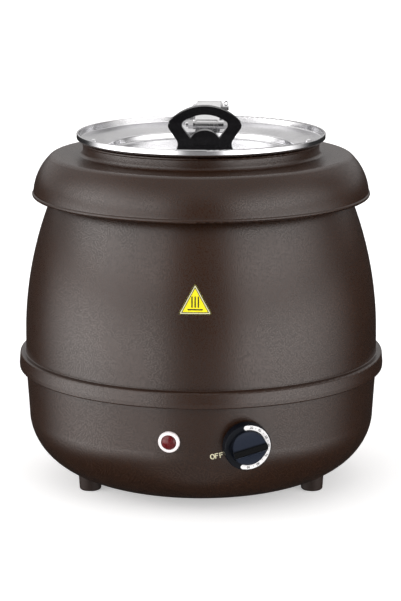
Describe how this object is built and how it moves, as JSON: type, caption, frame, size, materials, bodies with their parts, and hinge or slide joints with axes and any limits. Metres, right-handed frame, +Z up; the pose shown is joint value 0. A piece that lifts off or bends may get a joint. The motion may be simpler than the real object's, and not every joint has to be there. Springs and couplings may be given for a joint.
{
  "type": "soup kettle",
  "caption": "Electric buffet soup kettle with a brown barrel on a bowl-shaped base, a lift-out steel pot, a brown cover ring and a hinged steel lid with a black handle.",
  "frame": {"origin": "on the kettle's axis, in the plane that its feet stand on", "axes": "+Z is up, and the controls face -Y, so +X is on the right when looking at the controls"},
  "size_m": [0.36, 0.3819, 0.3686],
  "materials": {
    "brown_coat": "brown textured powder coat",
    "foot_rubber": "dark brown moulded rubber",
    "stainless_steel": "polished and lightly brushed",
    "pressed_steel": "mill finish, inside the kettle",
    "bright_fasteners": "bright plated",
    "black_phenolic": "glossy moulded handle",
    "knob_plastic": "blue-black satin",
    "scale_white": "printed band",
    "lamp_white": "white bezel",
    "lamp_red": "translucent red",
    "label_yellow": "printed foil",
    "black_nylon": "moulded nylon",
    "black_rubber": "soft seal",
    "switch_plastic": "cream moulded case",
    "terminal_ceramic": "glazed steatite",
    "copper": "drawn copper"
  },
  "bodies": {
    "kettle_body": {"barrel_shell": "brown_coat", "base_bowl": "brown_coat", "feet": "foot_rubber", "water_well": "stainless_steel", "base_pillars": "pressed_steel", "well_brackets": "pressed_steel", "heating_element": "pressed_steel", "element_clamp_plate": "pressed_steel", "well_studs": "pressed_steel", "cutout_strap": "pressed_steel", "bulb_clips": "pressed_steel", "foot_screws": "bright_fasteners", "bracket_nuts": "bright_fasteners", "element_terminals": "bright_fasteners", "stud_nuts": "bright_fasteners", "strap_rivets": "bright_fasteners", "thermostat_screws": "bright_fasteners", "terminal_block_screws": "bright_fasteners", "lamp_bezel": "lamp_white", "lamp_lens": "lamp_red", "warning_label": "label_yellow", "gland_body": "black_nylon", "gland_lock_nut": "black_nylon", "gland_cap": "black_nylon", "lamp_lock_ring": "black_nylon", "seam_gasket": "black_rubber", "gland_seal": "black_rubber", "gland_insert": "black_rubber", "thermostat_body": "switch_plastic", "lamp_body": "switch_plastic", "thermal_cutout": "terminal_ceramic", "terminal_block": "terminal_ceramic", "sensing_bulb": "copper", "capillary_tube": "copper"},
    "knob": {"thermostat_knob": "knob_plastic", "knob_scale": "scale_white", "thermostat_shaft": "pressed_steel", "knob_spring": "pressed_steel"},
    "soup_pot": {"soup_pot": "stainless_steel"},
    "collar": {"collar_cover": "brown_coat", "collar_seat_ring": "stainless_steel", "hinge_bracket": "stainless_steel", "hinge_screws": "bright_fasteners", "hinge_nuts": "bright_fasteners", "hinge_pin": "bright_fasteners", "pin_washers": "bright_fasteners", "split_pin": "bright_fasteners"},
    "lid": {"hinge_arm": "stainless_steel", "lid_shell": "stainless_steel", "lid_bracket": "stainless_steel", "bracket_rivets": "bright_fasteners", "front_bolt": "bright_fasteners", "front_spacer": "bright_fasteners", "front_nut": "bright_fasteners", "lid_handle": "black_phenolic", "handle_screws": "bright_fasteners", "handle_washers": "pressed_steel"}
  },
  "joints": [
    {"name": "knob_turn", "type": "hinge", "parent": "kettle_body", "child": "knob", "pos_m": [0.04059, -0.16651, 0.0765], "axis": [-0.2364, 0.9696, 0.0631], "range_deg": [0, 270]},
    {"name": "pot_lift", "type": "slide", "parent": "kettle_body", "child": "soup_pot", "axis": [0, 0, 1], "range_m": [0, 0.28]},
    {"name": "collar_lift", "type": "slide", "parent": "kettle_body", "child": "collar", "axis": [0, 0, 1], "range_m": [0, 0.56]},
    {"name": "lid_hinge", "type": "hinge", "parent": "collar", "child": "lid", "pos_m": [0.00858, 0.13272, 0.3488], "axis": [-0.9979, 0.0645, 0], "range_deg": [0, 100]}
  ],
  "couplings": [
    {"joint": "pot_lift", "follows": "collar_lift", "ratio": 0.5}
  ]
}
